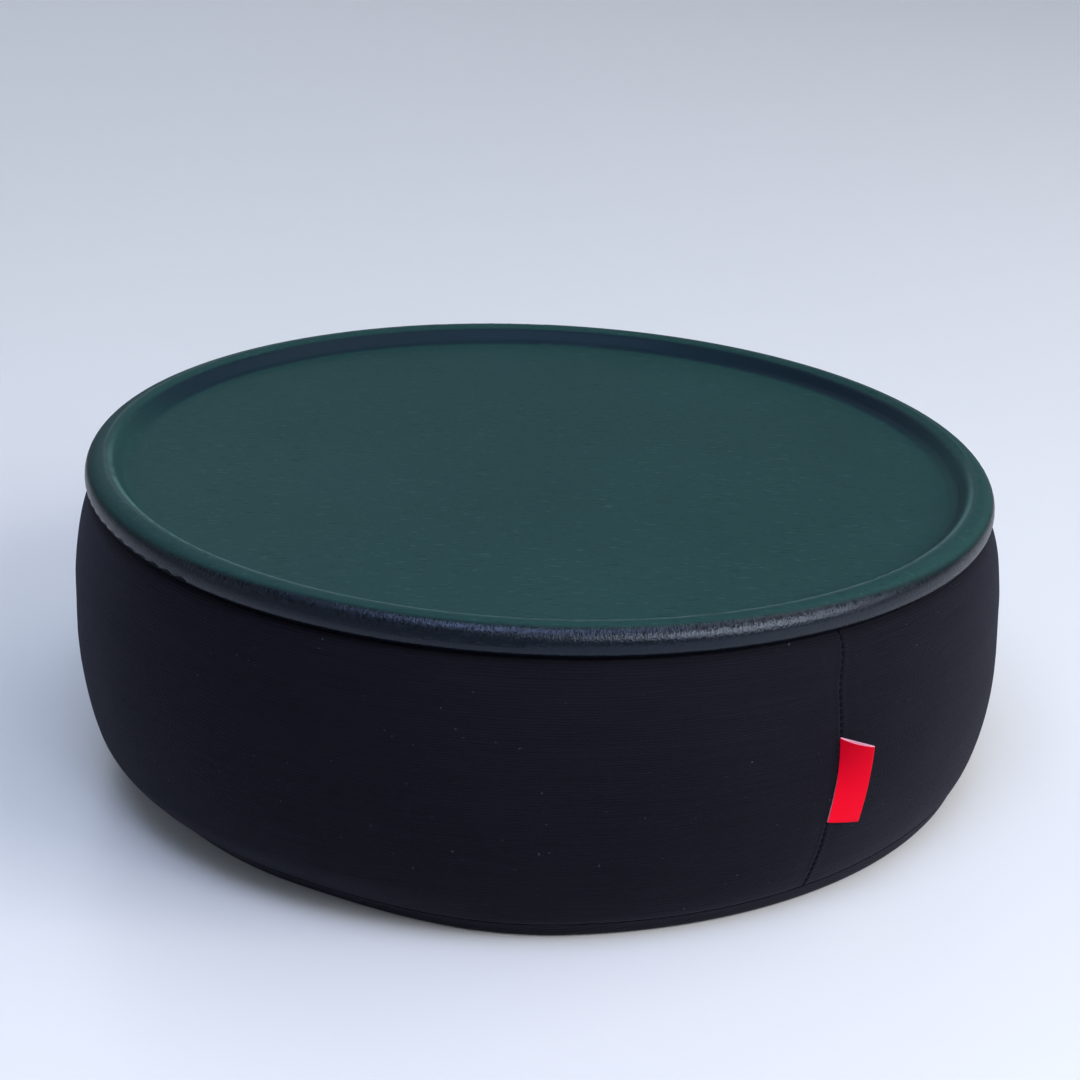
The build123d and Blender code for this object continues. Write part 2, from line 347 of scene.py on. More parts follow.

# %% [markdown]
# ## Leatherette
# The skin of the tray is a thin coated cloth. On the floor of the tray it lies flat and
# shows short level creases in its grain. Its green is partly its own colour and partly a
# painted reflection. Over the rolled rim it is stretched, so the grain draws out into fine
# strokes across the roll, and it is navy and glossier there. At the left and right the
# green is painted a little further out over the roll, as a painted reflection. The recess
# wall gets painted shade at the back of the tray, and a pale line along the crest at its
# front and sides is a painted highlight.
#
# All this could be a picture laid over the mesh. It is worked out in the tray's own measures
# instead, how far a point lies from the tray's axis and how high above its floor, so it fits
# the rim exactly and stays sharp from close by. Two shaders share one colour and differ in
# gloss and depth of grain. The glossy one shows on the roll, where it fades as the roll
# turns away from the eye, except at its outer edge. It also lies thinly on the dark wall,
# and on the crest where that is seen at a flat angle.

# %% Where a point lies on the tray
def tray_measures(place):
    """Distance from the tray's axis, height above its floor, and the way out east and north."""
    from_middle = place.vector("SUBTRACT", tuple(floor_middle))
    rise = from_middle.vector("DOT_PRODUCT", tuple(tray_axis), output=1)
    axis_part = vector_of(rise * tray_axis.x, rise * tray_axis.y, rise * tray_axis.z)
    outward = from_middle.vector("SUBTRACT", axis_part)
    length = {"operation": "LENGTH"}
    radius = outward.node("ShaderNodeVectorMath", length, {0: outward}, output=1)
    east, north, _ = parts_of(outward.vector("NORMALIZE", (0, 0, 0)))
    return radius, rise, east, north


def ring_mask(radius, inner, outer):
    """1 on a ring, with a soft step over its inner border and over its outer one."""
    return radius.ramp(inner[0], inner[1]) * radius.ramp(outer[1], outer[0])


print("the tray's axis:", np.round(tray_axis, 3))

# %% Leatherette
# Borders on the tray as distances from its axis, each from where it starts to where it ends
wall_inner, wall_outer = (170.4 * mm, 173.6 * mm), (177.8 * mm, 179.2 * mm)
crest_inner, crest_outer = (178.8 * mm, 179.8 * mm), (181.8 * mm, 183.2 * mm)
roll_border = (crest_radius + 2.6 * mm, crest_radius + 5.0 * mm)
edge_border = (crest_radius + 6.2 * mm, crest_radius + 7.8 * mm)
# How much further out the green is painted over the roll at the left and right, a painted
# reflection
side_reflection_shift = 3.0 * mm
# Half width of the pale painted highlight along the crest
crest_highlight_width = 1.6 * mm
pebble_size = 0.9 * mm
pebble_depth = 0.04 * mm
crease_depth = 0.04 * mm
stroke_width = 0.5 * mm
stroke_length = 1.8 * mm
stroke_depth = 0.15 * mm


def leatherette():
    material, place = start_finish("leatherette", Specular_IOR_Level=0.04)
    radius, rise, east, north = tray_measures(place)
    patches = noise(place, 70.0, 2.0)
    clouds = noise(place, 11.0, 3.0)
    sockets = {"Vector": place, "Scale": 1 / pebble_size}
    pebbles = place.node("ShaderNodeTexVoronoi", {"feature": "SMOOTH_F1"}, sockets)

    # The floor is green with level creases, most of them dark and a few light
    x, y, z = parts_of(place)
    creases = noise(vector_of(x / (6.0 * mm), y / (1.1 * mm), z / (1.1 * mm)), 1.0, 2.0, 0.5)
    dark_dashes = creases.ramp(0.61, 0.69)
    light_dashes = creases.ramp(0.36, 0.28)
    # The green is partly the skin's own colour and partly a painted reflection
    green = clouds.mix(shade(33, 58, 57), shade(40, 66, 65))
    green = (dark_dashes * 0.40).mix(green, shade(20, 38, 40))
    green = (light_dashes * 0.25).mix(green, shade(74, 104, 104))

    # The recess wall gets painted shade at the back, and the crest a pale painted highlight at the
    # front and sides
    wall = clouds.mix(shade(22, 36, 44), shade(28, 43, 52))
    back_wall_shade = ring_mask(radius, wall_inner, wall_outer)
    back_wall_shade = back_wall_shade * north.ramp(0.0, 0.5)
    # A pale line along the crest, a painted highlight, fading out towards the back
    crest_highlight = 1 - abs(radius - crest_highlight_radius) / crest_highlight_width
    crest_highlight = crest_highlight.ramp(0.0, 0.8) * patches.ramp(0.20, 0.50) * north.ramp(0.15, -0.4)
    top_tone = back_wall_shade.mix(green, wall)
    top_tone = (crest_highlight * 0.8).mix(top_tone, shade(68, 102, 99))

    # The roll is navy, and the grain runs across it in fine strokes
    turn = tray_radius / stroke_width
    strokes = vector_of(east * turn, north * turn, rise / stroke_length)
    strokes = noise(strokes, 1.0, 3.0, 0.7)
    navy = strokes.ramp(0.35, 0.65).mix(shade(2, 6, 10), shade(13, 20, 30))
    # At the left and right the green is moved out over the roll as a painted reflection
    reflection_shifted_radius = radius - abs(east).ramp(0.35, 1.0) * side_reflection_shift
    on_roll = reflection_shifted_radius.ramp(*roll_border)
    tone = on_roll.mix(top_tone, navy)

    # The gloss is broken up by the grain, but even along the roll's outer edge
    on_edge = radius.ramp(*edge_border)
    speckle = strokes.ramp(0.35, 0.65) * 1.1 + pebbles * 0.7 - 0.05
    speckle = speckle + on_edge * (0.75 - speckle)
    facing = place.node("ShaderNodeLayerWeight", output="Facing")
    shown = facing.math("MAXIMUM", facing.ramp(0.62, 0.22), on_edge)
    gloss = (on_roll * speckle + back_wall_shade * 0.10) * shown
    gloss = gloss + ring_mask(radius, crest_inner, crest_outer) * facing.ramp(0.5, 0.85) * 0.5
    tint = shade(214, 230, 255)
    second_finish(material, "glossy", gloss, Specular_IOR_Level=0.50, Specular_Tint=tint)

    grain = pebbles * pebble_depth
    for shader in ("Principled BSDF", "glossy"):
        feed(material, "Base Color", tone, shader)
    feed(material, "Roughness", 0.50 + clouds * 0.06 + pebbles * 0.06)
    raise_surface(material, grain - dark_dashes * crease_depth)
    feed(material, "Roughness", 0.17 + patches * 0.10, "glossy")
    raise_surface(material, grain * 2.5 + strokes * stroke_depth, "glossy")
    return material


skin = frame["nodes"]["tray_skin"]
skin.data.materials.clear()
skin.data.materials.append(leatherette())
print("skin covered,", len(skin.data.polygons), "faces")

# %% [markdown]
# ## Hidden pieces
# The pan, the ring that clamps the cover, its screws and the cord in the cover's hem are
# hidden in the finished tray, but whoever takes it apart sees them. They could be drawn
# again like the cloth, but they hold their shape, so the frame's is kept and only a finish is
# added: moulded plastic has a fine spark-eroded grain, zinc plating is a little uneven in
# tone, and the cord is braided.

# %% Moulded plastic, plated steel and braided cord
def moulded_plastic(name, tone):
    material, place = start_finish(name, Specular_IOR_Level=0.5)
    speckle = noise(place, 2200.0, 2.0)
    clouds = noise(place, 25.0, 2.0)
    dark, light = shade(tone, tone, tone + 2), shade(tone + 6, tone + 6, tone + 8)
    feed(material, "Base Color", clouds.mix(dark, light))
    feed(material, "Roughness", 0.42 + speckle * 0.2)
    raise_surface(material, speckle * (0.02 * mm))
    return material


def plated_steel():
    material, place = start_finish("plated_steel", Metallic=1.0)
    blotches = noise(place, 900.0, 3.0)
    feed(material, "Base Color", blotches.mix(shade(170, 172, 176), shade(196, 197, 198)))
    feed(material, "Roughness", 0.25 + blotches * 0.2)
    return material


def braided_cord():
    material, place = start_finish("braided_cord", Roughness=0.85)
    x, y, z = parts_of(place)
    braid = (x + y + z) / (1.6 * mm)
    strand = abs(braid.math("FRACT", braid) - 0.5) * 2
    feed(material, "Base Color", strand.mix(shade(214, 212, 205), shade(178, 176, 170)))
    raise_surface(material, strand * (-0.15 * mm))
    return material


def keep_node(name, material):
    """Give a piece of the frame its finish."""
    node = frame["nodes"][name]
    node.data.materials.clear()
    node.data.materials.append(material)


keep_node("tray_pan", moulded_plastic("pan_plastic", 30))
keep_node("retaining_ring", moulded_plastic("ring_plastic", 36))
keep_node("ring_screws", plated_steel())
keep_node("hem_cord", braided_cord())
print("four hidden pieces finished")

# %% [markdown]
# ## The form of the cushion
# The cushion is round at every level, but each level leans a little more than the one below
# it, because the tray on top leans and the base lies flat. So a point of the cover has two
# measures: its azimuth, from the front towards the right, and its level. How wide each level
# is comes from the frame: rays are shot at the outside of the CAD cover and averaged. Radii
# typed here again would be left behind by the next change of the CAD model.

# %% Read the cushion's form
def level_frame(level):
    """Place of the cushion's slice at a level, as a matrix."""
    lean = tray_lean * level / cushion_height
    return Matrix.Translation((0, 0, level)) @ Matrix.Rotation(lean, 4, "Y")


def tree_of(*objects):
    """Tree for shooting rays at the meshes of some objects."""
    points, faces = [], []
    for thing in objects:
        start = len(points)
        points += [vertex.co.copy() for vertex in thing.data.vertices]
        faces += [[start + index for index in face.vertices] for face in thing.data.polygons]
    return BVHTree.FromPolygons(points, faces)


rays_per_level = 24
ray_start = 0.3


def outside_radius(tree, level):
    """Mean radius at a level, seen from outside."""
    place = level_frame(level)
    found = []
    for step in range(rays_per_level):
        turn = 2 * math.pi * (step + 0.5) / rays_per_level
        out = Vector((math.sin(turn), -math.cos(turn), 0))
        hit, _, _, distance = tree.ray_cast(place @ (out * ray_start), place.to_3x3() @ -out)
        if hit:
            found.append(ray_start - distance)
    return float(np.mean(found))


cover_tree = tree_of(frame["nodes"]["cover_side_band"], frame["nodes"]["cover_bottom_panel"])
measured_levels = np.linspace(0.3 * mm, cushion_height - 0.3 * mm, 90)
measured_radii = np.array([outside_radius(cover_tree, level) for level in measured_levels])
base_radius = measured_radii[0]
widest_radius = measured_radii.max()
print(f"radii: base {base_radius / mm:.1f}, widest {widest_radius / mm:.1f}")

# %% [markdown]
# ## Pieces drawn on that form
# `on_cover` turns azimuths, levels and a height above the cloth into points. It works on
# whole arrays, so a cover of many thousand points takes a moment only. In the photograph the
# foot of the cushion is drawn in at the front left, where the beads have settled. That is
# this one cushion's chance form, so it is added here and not in the frame.

# %% Points on the cushion
settle_depth = 11.0 * mm
settle_height = 24 * mm
settle_start, settle_end = (-95, -50), (-33, 3)  # degrees of azimuth, where it comes and goes


def radius_at(levels):
    """Radius of the cushion at each level."""
    return np.interp(levels, measured_levels, measured_radii)


def slope_at(levels):
    """Outward lean of the cloth's face at each level, positive where it faces up."""
    step = 0.5 * mm
    change = radius_at(levels + step) - radius_at(levels - step)
    return np.arctan2(-change, 2 * step)


def soft_step(values, low, high):
    """0 below low, 1 above high, and a soft step between."""
    share = np.clip((values - low) / (high - low), 0, 1)
    return share * share * (3 - 2 * share)


def settle(azimuths, levels):
    """How far the beads have drawn the foot in at the front left."""
    degrees = (np.degrees(azimuths) + 180) % 360 - 180
    around = soft_step(degrees, *settle_start) - soft_step(degrees, *settle_end)
    return settle_depth * around * (1 - soft_step(levels, 0.0, settle_height))


def on_cover(azimuths, levels, out=0.0, radii=None, drop=0.0):
    """Points at some azimuths and levels, lifted off the cloth by out."""
    whole = radius_at(levels)
    radii = whole if radii is None else radii
    slope = slope_at(levels)
    reach = radii - settle(azimuths, levels) * radii / whole + out * np.cos(slope)
    rise = out * np.sin(slope) - drop
    lean = tray_lean * levels / cushion_height
    x = reach * np.sin(azimuths)
    y = -reach * np.cos(azimuths)
    return np.stack([
        x * np.cos(lean) + rise * np.sin(lean),
        y,
        levels - x * np.sin(lean) + rise * np.cos(lean),
    ], axis=-1)


front = on_cover(np.array([0.0]), np.array([60 * mm]))
print("a point on the front:", np.round(front[0] / mm, 1))

# %% [markdown]
# ## Let the beads push the bag
# A bag of beads gets its shape from the load inside. Blender's cloth can do that: a closed
# mesh a little smaller than the finished cushion is given an even voxel mesh, its top and
# base are held, and pressure swells it for twenty steps. Each point may move a few
# millimetres only, so the bag stays in the space that the frame keeps for it. The start form
# has slight lumps, where the beads lie thicker, and the cloth carries them on.

# %% Bag before it is filled
bag_inset = 4.6 * mm
bag_top_drop = 7.0 * mm
bag_columns = 180
bag_side_rings = 26


def lumps(azimuths, levels):
    """Uneven filling: a few waves that close on themselves, and a flatter right side."""
    height = levels / cushion_height
    slow = np.cos(3 * azimuths) * 0.55 + np.cos(5 * azimuths - 1.1 + 2.2 * height) * 0.45
    middle = np.cos(9 * azimuths + 1.3 + 5.0 * height) * np.cos(7.0 * height + 0.6) * 0.3
    fine = np.cos(17 * azimuths + 2.4 - 9.0 * height) * np.cos(13.0 * height) * 0.16
    flat_right = -2.2 * np.exp(-(((azimuths - 1.5) / 0.6) ** 2)) * np.sin(math.pi * height) ** 2
    return (slow + middle + fine + flat_right) * mm


def bag_outline():
    """Rings of the unfilled bag, from the middle of its base to the middle of its top."""
    turns = np.arange(bag_columns) * 2 * math.pi / bag_columns
    rings = []
    for share in (0.01, 0.5, 0.9):
        rings.append((bag_inset / 2, base_radius * share, 0.0))
    low, high = bottom_seam_height * 0.6, cushion_height - bag_top_drop
    for level in np.linspace(low, high, bag_side_rings):
        rings.append((level, None, 0.0))
    for share in (0.93, 0.5, 0.01):
        rings.append((cushion_height, radius_at(cushion_height) * share, bag_top_drop))
    rows = []
    for level, radius, drop in rings:
        levels = np.full(bag_columns, level)
        if radius is None:
            rows.append(on_cover(turns, levels, lumps(turns, levels) - bag_inset))
        else:
            rows.append(on_cover(turns, levels, radii=np.full(bag_columns, radius), drop=drop))
    return np.stack(rows)


def closed_grid(name, points):
    """Grid that goes round in its columns, with its first and last rows closed by a face."""
    rows, columns = points.shape[:2]
    faces = grid_faces(rows, columns)
    faces.append(tuple(reversed(range(columns))))
    faces.append(tuple(range((rows - 1) * columns, rows * columns)))
    return mesh_object(name, points.reshape(-1, 3), faces)


def apply_modifiers(thing):
    """Replace the mesh of an object by what its modifiers make of it."""
    shape = thing.evaluated_get(bpy.context.evaluated_depsgraph_get())
    mesh = bpy.data.meshes.new_from_object(shape)
    thing.modifiers.clear()
    old = thing.data
    thing.data = mesh
    bpy.data.meshes.remove(old)
    mesh.shade_smooth()


bag = closed_grid("bead_bag_cloth", bag_outline())
remesh = bag.modifiers.new("even_mesh", "REMESH")
remesh.mode = "VOXEL"
remesh.voxel_size = 4.5 * mm
apply_modifiers(bag)
print("bag with", len(bag.data.vertices), "points")

# %% Fill it
held_margin = 3 * mm


def coordinates(mesh):
    """The points of a mesh as rows of three numbers."""
    flat = np.zeros(len(mesh.vertices) * 3)
    mesh.vertices.foreach_get("co", flat)
    return flat.reshape(-1, 3)


def fill_bag(bag, pressure, steps, cap):
    """Swell the bag by pressure, with its top and its base held."""
    start = coordinates(bag.data)
    along = (start - np.array(rim_foot)) @ np.array(tray_axis)
    held = (along > -bag_top_drop - held_margin) | (start[:, 2] < held_margin)
    group = bag.vertex_groups.new(name="held")
    group.add([int(i) for i in np.flatnonzero(held)], 1.0, "ADD")
    cloth = bag.modifiers.new("filling", "CLOTH")
    cloth.settings.vertex_group_mass = "held"
    cloth.settings.use_pressure = True
    cloth.settings.uniform_pressure_force = pressure
    cloth.settings.effector_weights.gravity = 0
    for step in range(1, steps + 1):
        bpy.context.scene.frame_set(step)
    shape = bag.evaluated_get(bpy.context.evaluated_depsgraph_get())
    moved = coordinates(shape.data) - start
    distance = np.linalg.norm(moved, axis=1)
    moved *= np.minimum(1, cap / np.maximum(distance, 1e-9))[:, None]
    bag.modifiers.clear()
    bag.data.vertices.foreach_set("co", (start + moved).ravel())
    bpy.context.scene.frame_set(1)
    return distance


travel = fill_bag(bag, pressure=4.0, steps=20, cap=5 * mm)
print(f"points moved {travel.mean() / mm:.1f} mm on average, {travel.max() / mm:.1f} at most")
smooth = bag.modifiers.new("smooth", "SUBSURF")
smooth.levels = 1
smooth.render_levels = 1
apply_modifiers(bag)

# %% [markdown]
# ## How the cloth lies on the bag
# The cover is drawn as a neat grid and laid on the filled bag. For that, rays measure how far
# the bag lies from the form in the frame, at a coarse net of azimuths and levels. The mean
# is taken off, so the cover keeps its size and only takes over the bag's unevenness. A
# Shrinkwrap modifier would be shorter, but it would take over the bag's size as well.

# %% Measure the filled bag
net_columns = 240
net_levels = np.linspace(4 * mm, cushion_height - 2 * mm, 44)
net_turns = np.arange(net_columns) * 2 * math.pi / net_columns


def measure_bag():
    """Height of the bag above the frame's form at the net's points."""
    tree = tree_of(bag)
    far = 30 * mm
    found = np.zeros((len(net_levels), net_columns))
    for row, level in enumerate(net_levels):
        levels = np.full(net_columns, level)
        starts = on_cover(net_turns, levels, far)
        ends = on_cover(net_turns, levels)
        for column in range(net_columns):
            way = Vector(ends[column] - starts[column]).normalized()
            hit, _, _, distance = tree.ray_cast(Vector(starts[column]), way)
            found[row, column] = far - distance if hit and distance < 2 * far else np.nan
    return found


def even_out(net):
    """Fill gaps with the mean and soften the net a little."""
    net = np.where(np.isnan(net), np.nanmean(net), net)
    for _ in range(3):
        net = (np.roll(net, 1, 1) + 2 * net + np.roll(net, -1, 1)) / 4
        net[1:-1] = (net[:-2] + 2 * net[1:-1] + net[2:]) / 4
    return net


bag_net = even_out(measure_bag())
bag_mean = bag_net.mean()
bag_limit = 2.5 * mm
bag_net = np.clip(bag_net - bag_mean, -bag_limit, bag_limit)
unevenness = bag_net.std()
print(f"the bag lies {-bag_mean / mm:.1f} mm inside the cover, uneven by {unevenness / mm:.2f}")

# %% Between the net's points
fade_below_rim = (3 * mm, 28 * mm)
fade_above_base = (0.0, 12 * mm)


def net_at(azimuths, levels):
    """The bag's unevenness between the net's points, fading out at the rim and the base."""
    column = (azimuths % (2 * math.pi)) / (2 * math.pi) * net_columns
    row = np.interp(levels, net_levels, np.arange(len(net_levels)))
    row = np.clip(row, 0, len(net_levels) - 1.001)
    left = np.floor(column).astype(int) % net_columns
    low = np.floor(row).astype(int)
    across = column - np.floor(column)
    up = row - low
    right = (left + 1) % net_columns
    lower = bag_net[low, left] * (1 - across) + bag_net[low, right] * across
    upper = bag_net[low + 1, left] * (1 - across) + bag_net[low + 1, right] * across
    fade = soft_step(cushion_height - levels, *fade_below_rim)
    fade = fade * soft_step(levels, *fade_above_base)
    return (lower * (1 - up) + upper * up) * fade


at_half_height = net_at(net_turns, np.full(net_columns, cushion_height / 2))
print(f"at half height from {at_half_height.min() / mm:.1f} to {at_half_height.max() / mm:.1f} mm")

# %% [markdown]
# ## Stretch knit
# The cover is a fine stretch knit. Its rows of loops, the courses, run level round the
# cushion and show as thin lines, about a millimetre apart and never quite even. Across them
# run the wales, too fine to see one by one. Loops could be modelled, but there are far too
# many of them, so they are a pattern in the finish: it darkens the gaps and raises the
# courses. A trace of sheen stands for the fuzz, which lightens the cloth a little where it
# turns away.

# %% Knit finish
course_pitch = 1.05 * mm
course_depth = 0.11 * mm
wale_count = 1400
wale_depth = 0.03 * mm
bottom_wale_pitch = 0.85 * mm
fuzz_depth = 0.05 * mm


def knit(name, level_courses):
    material, place = start_finish(
        name,
        Specular_IOR_Level=0.10,
        Sheen_Weight=0.08,
        Sheen_Roughness=0.35,
        Sheen_Tint=shade(190, 200, 235),
    )
    x, y, z = parts_of(place)
    if level_courses:
        level = z + x * z * (tray_lean / cushion_height)
        turn = x.math("ARCTAN2", x, y * -1.0)
        across = turn * (wale_count / (2 * math.pi))
    else:
        level = y
        across = x / bottom_wale_pitch
    wander = noise(vector_of(x * 90.0, y * 90.0, level * 500.0), 1.0, 3.0)
    row = level / course_pitch + wander * 1.1
    wale = abs(across.math("FRACT", across) - 0.5) * 2
    course = abs(row.math("FRACT", row + wale * 0.35) - 0.5) * 2
    streaks = noise(vector_of(x * 25.0, y * 25.0, level * 1500.0), 1.0, 2.0)
    fuzz = noise(place, 2600.0, 2.0)
    worn = noise(place, 14.0, 3.0)
    yarn = (0.35 + course.ramp(0.1, 0.8) * 0.65) * (0.35 + streaks * 1.1)
    colour = yarn.mix(shade(3, 3, 6), shade(25, 24, 34))
    # Specks of lint lie where a fine noise has its few highest peaks
    lint = noise(place, 900.0, 0.0).ramp(0.865, 0.88)
    colour = (lint * 0.35).mix(colour, shade(110, 112, 122))
    feed(material, "Base Color", colour)
    feed(material, "Roughness", 0.72 + worn * 0.2)
    raise_surface(material, course * course_depth + wale * wale_depth + fuzz * fuzz_depth)
    return material


side_knit = knit("side_knit", True)
bottom_knit = knit("bottom_knit", False)
print(f"courses {course_pitch / mm:.2f} mm apart, {wale_count} wales round")

# %% [markdown]
# ## Side band
# The side band is one strip of knit, closed by an upright seam. Its lower edge turns in at
# the bottom seam, and its upper edge goes in under the rim and up to the hem. The seam pulls
# the cloth in, and each stitch pulls a little more, which gives the row of small puckers.
# A sculpted mesh could show them too, but a formula keeps every pucker at its own stitch.
# Only a narrow strip beside the seam needs points that close together, so the band is two
# grids, a broad coarse one and a narrow fine one, that meet edge to edge.

# %% Side seam
stitch_pitch = 2.8 * mm
seam_strip = 9.0 * mm
seam_strip_fade = 2 * mm
groove_width = 0.45 * mm
shoulder_place, shoulder_width = 1.5 * mm, 1.0 * mm
broad_pull_width = 5.0 * mm
seam_foot_azimuth = 33.2  # degrees
seam_slants = (  # degrees, and the levels that they are spread over
    (0.9, 4 * mm, 38 * mm),
    (1.3, 30 * mm, 75 * mm),
    (1.2, 95 * mm, 115 * mm),
)


def seam_at(levels):
    """Azimuth of the side seam, which slants near the foot, beside the tag and near the rim."""
    azimuth = seam_foot_azimuth
    for degrees, low, high in seam_slants:
        azimuth = azimuth + degrees * soft_step(levels, low, high)
    return np.radians(azimuth)


def seam_pull(azimuths, levels):
    """How far the side seam pulls the cloth in, and its puckers."""
    aside = (azimuths - seam_at(levels)) * radius_at(levels)
    stitch = 0.5 + 0.5 * np.cos(2 * math.pi * levels / stitch_pitch)
    uneven = 0.8 + 0.2 * np.cos(levels / (4.3 * mm) + 0.7)
    groove = -np.exp(-(aside / groove_width) ** 2) * (0.35 + 0.45 * stitch) * mm
    shoulder = np.exp(-((abs(aside) - shoulder_place) / shoulder_width) ** 2)
    shoulder = shoulder * (0.12 + 0.16 * stitch) * mm
    broad = -np.exp(-(aside / broad_pull_width) ** 2) * 0.25 * mm
    inside = np.clip((seam_strip - abs(aside)) / seam_strip_fade, 0, 1)
    return (groove + shoulder * uneven + broad) * inside


seam_degrees = np.degrees(seam_at(np.array([0.0, cushion_height])))
print(f"the seam runs from {seam_degrees[0]:.1f} to {seam_degrees[1]:.1f} degrees")

# %% Side band
band_top_radius = radius_at(cushion_height)
broad_columns, broad_rings = 480, 72
strip_rings = 200
# Steps away from the seam, in millimetres, close together where the puckers are
strip_steps = (0.0, 0.2, 0.4, 0.6, 0.85, 1.15, 1.5, 2.0, 2.6, 3.4, 4.4, 5.6, 7.0)
# The lower hem, as heights above the bottom seam and ways out
band_hem = ((0.1 * mm, -5 * mm), (0.0, -0.5 * mm), (0.15 * mm, -0.18 * mm), (0.8 * mm, -0.04 * mm))
# The upper edge under the rim, as ways in and drops
band_top = ((1.5 * mm, 0.0), (2.4 * mm, -0.5 * mm), (2.6 * mm, -4 * mm))


def band_levels(count):
    """Levels of the band's rings, and how far out each lies, which is inwards at the hem."""
    rings = [(bottom_seam_height + above, out) for above, out in band_hem]
    for level in np.linspace(bottom_seam_height + 2.2 * mm, cushion_height - 0.2 * mm, count):
        rings.append((level, 0.0))
    return rings


def band_points(from_seam, count):
    """Grid of the side band, from its lower hem to its upper one, at angles from its seam."""
    rows = []
    for level, pull in band_levels(count):
        levels = np.full(len(from_seam), level)
        azimuths = seam_at(levels) + from_seam
        out = pull + net_at(azimuths, levels) + seam_pull(azimuths, levels)
        rows.append(on_cover(azimuths, levels, out))
    for inward, drop in band_top:
        radii = np.full(len(from_seam), band_top_radius - inward)
        rows.append(on_cover(azimuths, levels, radii=radii, drop=drop))
    return np.stack(rows)


def open_grid(points):
    """Points and quads of a grid with four edges."""
    rows, columns = points.shape[:2]
    corner = (np.arange(rows - 1)[:, None] * columns + np.arange(columns - 1)).ravel()
    faces = np.stack([corner, corner + 1, corner + columns + 1, corner + columns], axis=1)
    return points.reshape(-1, 3), faces


strip_angle = seam_strip / band_top_radius
broad_turns = np.linspace(strip_angle, 2 * math.pi - strip_angle, broad_columns)
half_strip = np.append(np.array(strip_steps) * mm / band_top_radius, strip_angle)
strip_turns = np.concatenate([-half_strip[:0:-1], half_strip])
broad_points, broad_faces = open_grid(band_points(broad_turns, broad_rings))
strip_points, strip_faces = open_grid(band_points(strip_turns, strip_rings))
band_mesh_points = np.concatenate([broad_points, strip_points])
band_mesh_faces = np.concatenate([broad_faces, strip_faces + len(broad_points)])
band = mesh_object("side_band_knit", band_mesh_points, band_mesh_faces.tolist())
band.data.materials.append(side_knit)
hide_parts("cover_side_band")
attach(band, "root")
print("side band of", len(band.data.polygons), "faces")

# %% [markdown]
# ## Bottom panel
# The bottom panel is a round of the same knit. It lies flat on the table and turns up to
# the bottom seam, where its edge goes in beside the band's. It could be the end of the
# band's mesh, but it is cut and sewn as a piece of its own, so it is one here too.

# %% Bottom panel
panel_shares = (0.004, 0.15, 0.35, 0.6, 0.8, 0.93, 0.985)  # of the base's radius
panel_edge = (  # level, and way out
    (0.25 * mm, -0.6 * mm), (0.9 * mm, 0.0), (2.2 * mm, 0.25 * mm),
    (3.8 * mm, 0.3 * mm), (5.6 * mm, 0.2 * mm), (7.0 * mm, 0.05 * mm),
    (7.6 * mm, -0.05 * mm), (7.85 * mm, -0.4 * mm), (7.8 * mm, -5 * mm),
)


def panel_points(columns):
    """Rings of the panel, from its middle to the allowance inside the seam."""
    turns = np.arange(columns) * 2 * math.pi / columns
    rows = []
    for share in panel_shares:
        radii = np.full(columns, base_radius * share)
        rows.append(on_cover(turns, np.zeros(columns), radii=radii))
    for level, out in panel_edge:
        levels = np.full(columns, level)
        rows.append(on_cover(turns, levels, out + net_at(turns, levels)))
    return np.stack(rows)


panel_grid = panel_points(broad_columns)
panel_faces = grid_faces(panel_grid.shape[0], broad_columns)
panel_faces.append(tuple(reversed(range(broad_columns))))
panel = mesh_object("bottom_panel_knit", panel_grid.reshape(-1, 3), panel_faces)
panel.data.materials.append(bottom_knit)
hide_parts("cover_bottom_panel")
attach(panel, "root")
print("bottom panel of", len(panel.data.polygons), "faces")

# %% [markdown]
# ## Ribbon tag
# The tag is one short length of woven ribbon, folded in the middle and caught in the side
# seam by both ends. Flat against the cushion at its lower end, it twists until its upper end
# stands well off, and its two leaves part a little, so that the pale back of the ribbon
# shows from above. The cushion bulges and the ribbon is stiff, so its fold stays nearly
# straight and less of it stands free in the middle. Cloth could be simulated for it, but a
# stiff ribbon this small hardly hangs, so it is drawn as one sheet and then given a
# thickness.

# %% Ribbon tag
tag_low = 40.0 * mm
tag_high = 76.3 * mm
tag_length = 13.2 * mm
tag_leaf = 0.35 * mm
tag_bulge = 1.1 * mm
tag_low_lift, tag_high_lift = 12.0, 62.0  # degrees off the cover
tag_droop = 6.5  # degrees
tag_root = 0.5 * mm
tag_rows = 60
inner_columns, fold_columns, outer_columns = 22, 8, 26
fold_turn = 70  # degrees to each side
fold_freedom = 0.3  # 0 keeps the fold quite straight, 1 lets it follow the seam
weft_pitch, weft_depth = 0.42 * mm, 0.05 * mm
warp_pitch, warp_depth = 0.5 * mm, 0.03 * mm


def tag_end(share):
    """The tag's root on the seam and its fold, at its lower end (0) or its upper one (1)."""
    level = tag_low + (tag_high - tag_low) * share
    lift = math.radians(tag_low_lift + (tag_high_lift - tag_low_lift) * share)
    place = (
        level_frame(level)
        @ Matrix.Rotation(float(seam_at(level)), 4, "Z")
        @ Matrix.Translation((0, -float(radius_at(level)), 0))
        @ Matrix.Rotation(math.pi - float(slope_at(level)), 4, "X")
        @ Matrix.Rotation(-math.radians(tag_droop), 4, "Y")
        @ Matrix.Rotation(lift, 4, "Z")
    )
    return place @ Vector((0, 0, 0)), place @ Vector((tag_length, 0, 0))


